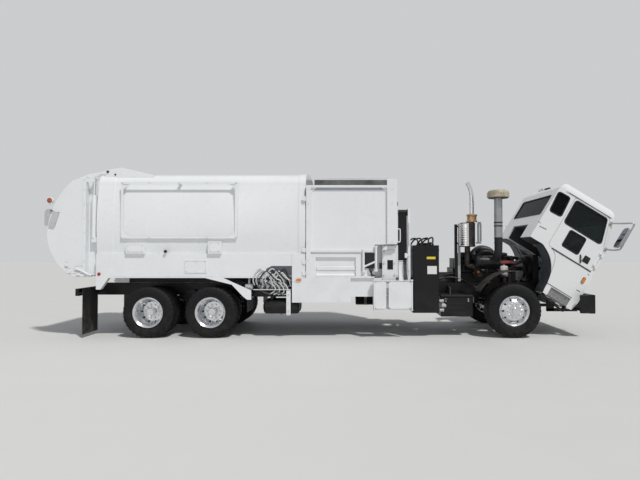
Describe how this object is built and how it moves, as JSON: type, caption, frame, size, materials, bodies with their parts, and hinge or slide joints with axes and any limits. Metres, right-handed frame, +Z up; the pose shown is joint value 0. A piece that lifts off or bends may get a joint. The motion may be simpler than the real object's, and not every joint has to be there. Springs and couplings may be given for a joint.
{
  "type": "garbage truck",
  "caption": "Side-loading refuse truck with a tilt cab tipped forward, packer hopper, reach-out lift arm, bowed body and a top-hinged tailgate.",
  "frame": {"origin": "on the ground, under the middle of the whole length and width", "axes": "+X forward, +Y to the truck's left, +Z up"},
  "size_m": [12.3213, 2.7614, 3.69],
  "materials": {
    "body_paint": "gloss white paint with dust",
    "cab_paint": "gloss white paint",
    "chassis_black": "satin black chassis paint with dust",
    "engine_black": "greasy dark engine paint",
    "tyre_rubber": "worn black rubber",
    "wheel_alloy": "polished forged alloy",
    "exhaust_chrome": "bright chrome with heat stain",
    "intake_metal": "dull alloy tube",
    "rod_chrome": "hard chromed rod",
    "flap_rubber": "dull rubber sheet",
    "glazing": "tinted safety glass",
    "cab_trim": "grained dark plastic",
    "seat_fabric": "dark woven cloth",
    "lamp_plastic": "red and amber lens plastic",
    "tank_metal": "satin black tank paint",
    "mirror_plastic": "pale mirror shell"
  },
  "bodies": {
    "chassis": {"frame_rails": "chassis_black", "front_axle": "chassis_black", "suspension": "chassis_black", "rear_axles": "chassis_black", "engine": "engine_black", "exhaust_stack": "exhaust_chrome", "air_intake": "intake_metal", "hydraulic_tank": "tank_metal", "side_tanks": "tank_metal", "front_bumper": "chassis_black", "fenders": "chassis_black", "mud_flaps": "flap_rubber", "body_shell": "body_paint", "body_floor": "body_paint", "body_frames": "body_paint", "sign_frames": "body_paint", "body_fittings": "body_paint", "tailgate_barrels": "body_paint", "hopper_shell": "body_paint", "hopper_frame": "body_paint", "lift_base": "body_paint"},
    "knuckle_right": {"knuckle_right": "chassis_black"},
    "knuckle_left": {"knuckle_left": "chassis_black"},
    "wheel_front_right": {"tyre_front_right": "tyre_rubber", "rim_front_right": "wheel_alloy"},
    "wheel_front_left": {"tyre_front_left": "tyre_rubber", "rim_front_left": "wheel_alloy"},
    "cab": {"cab_shell": "cab_paint", "cab_roof": "cab_paint", "engine_cover": "cab_trim", "windscreen": "glazing", "cab_glass": "glazing", "seat_bases": "cab_trim", "seat_cushions": "seat_fabric", "dashboard": "cab_trim", "cab_front": "cab_trim", "mirrors": "mirror_plastic", "steps": "chassis_black"},
    "door_right": {"door_right": "cab_paint", "door_glass_right": "glazing"},
    "door_left": {"door_left": "cab_paint", "door_glass_left": "glazing"},
    "tailgate": {"tailgate_shell": "body_paint", "tailgate_lamps": "lamp_plastic"},
    "tailgate_rods": {"tailgate_rods": "rod_chrome"},
    "packer": {"packer_blade": "body_paint"},
    "lift_slide": {"lift_slide": "body_paint"},
    "lift_arm": {"lift_arm": "body_paint", "gripper_base": "body_paint"},
    "finger_front": {"finger_front": "body_paint"},
    "finger_rear": {"finger_rear": "body_paint"},
    "wheels_mid_right": {"tyres_mid_right": "tyre_rubber", "rims_mid_right": "wheel_alloy"},
    "wheels_mid_left": {"tyres_mid_left": "tyre_rubber", "rims_mid_left": "wheel_alloy"},
    "wheels_rear_right": {"tyres_rear_right": "tyre_rubber", "rims_rear_right": "wheel_alloy"},
    "wheels_rear_left": {"tyres_rear_left": "tyre_rubber", "rims_rear_left": "wheel_alloy"}
  },
  "joints": [
    {"name": "steer_right", "type": "hinge", "parent": "chassis", "child": "knuckle_right", "pos_m": [3.67, -0.745, 0.56], "axis": [0, 0, 1], "range_deg": [-35, 35]},
    {"name": "steer_left", "type": "hinge", "parent": "chassis", "child": "knuckle_left", "pos_m": [3.67, 0.745, 0.56], "axis": [0, 0, 1], "range_deg": [-35, 35]},
    {"name": "spin_front_right", "type": "hinge", "parent": "knuckle_right", "child": "wheel_front_right", "pos_m": [3.67, -1.03, 0.56], "axis": [0, 1, 0], "continuous": true},
    {"name": "spin_front_left", "type": "hinge", "parent": "knuckle_left", "child": "wheel_front_left", "pos_m": [3.67, 1.03, 0.56], "axis": [0, 1, 0], "continuous": true},
    {"name": "spin_mid_right", "type": "hinge", "parent": "chassis", "child": "wheels_mid_right", "pos_m": [-2.6575, -0.935, 0.53], "axis": [0, 1, 0], "continuous": true},
    {"name": "spin_mid_left", "type": "hinge", "parent": "chassis", "child": "wheels_mid_left", "pos_m": [-2.6575, 0.935, 0.53], "axis": [0, 1, 0], "continuous": true},
    {"name": "spin_rear_right", "type": "hinge", "parent": "chassis", "child": "wheels_rear_right", "pos_m": [-3.9525, -0.935, 0.53], "axis": [0, 1, 0], "continuous": true},
    {"name": "spin_rear_left", "type": "hinge", "parent": "chassis", "child": "wheels_rear_left", "pos_m": [-3.9525, 0.935, 0.53], "axis": [0, 1, 0], "continuous": true},
    {"name": "cab_tilt", "type": "hinge", "parent": "chassis", "child": "cab", "pos_m": [4.975, 0, 0.984], "axis": [0, 1, 0], "range_deg": [-31.5, 0]},
    {"name": "door_right_hinge", "type": "hinge", "parent": "cab", "child": "door_right", "pos_m": [5.47851, -1.076, 1.58556], "axis": [0.5225, 0, 0.8526], "range_deg": [0, 65]},
    {"name": "door_left_hinge", "type": "hinge", "parent": "cab", "child": "door_left", "pos_m": [5.47851, 1.076, 1.58556], "axis": [0.5225, 0, 0.8526], "range_deg": [-65, 0]},
    {"name": "tailgate_hinge", "type": "hinge", "parent": "chassis", "child": "tailgate", "pos_m": [-4.89, 0, 3.49], "axis": [0, 1, 0], "range_deg": [0, 80]},
    {"name": "tailgate_rod_slide", "type": "slide", "parent": "chassis", "child": "tailgate_rods", "axis": [0, 0, 1], "range_m": [0, 0.39]},
    {"name": "packer_slide", "type": "slide", "parent": "chassis", "child": "packer", "axis": [-1, 0, 0], "range_m": [0, 1.25]},
    {"name": "lift_reach", "type": "slide", "parent": "chassis", "child": "lift_slide", "axis": [0, -1, 0], "range_m": [0, 1.3]},
    {"name": "lift_swing", "type": "hinge", "parent": "lift_slide", "child": "lift_arm", "pos_m": [1.35, -1.08, 2.62], "axis": [-1, 0, 0], "range_deg": [0, 165]},
    {"name": "finger_front_hinge", "type": "hinge", "parent": "lift_arm", "child": "finger_front", "pos_m": [1.522, -1.3, 0.9], "axis": [0, 0, 1], "range_deg": [0, 100]},
    {"name": "finger_rear_hinge", "type": "hinge", "parent": "lift_arm", "child": "finger_rear", "pos_m": [0.746, -1.3, 0.9], "axis": [0, 0, 1], "range_deg": [-100, 0]}
  ],
  "couplings": [
    {"joint": "steer_left", "follows": "steer_right", "ratio": 1},
    {"joint": "tailgate_rod_slide", "follows": "tailgate_hinge", "m_per_rad": 0.2765},
    {"joint": "finger_rear_hinge", "follows": "finger_front_hinge", "ratio": -1}
  ]
}
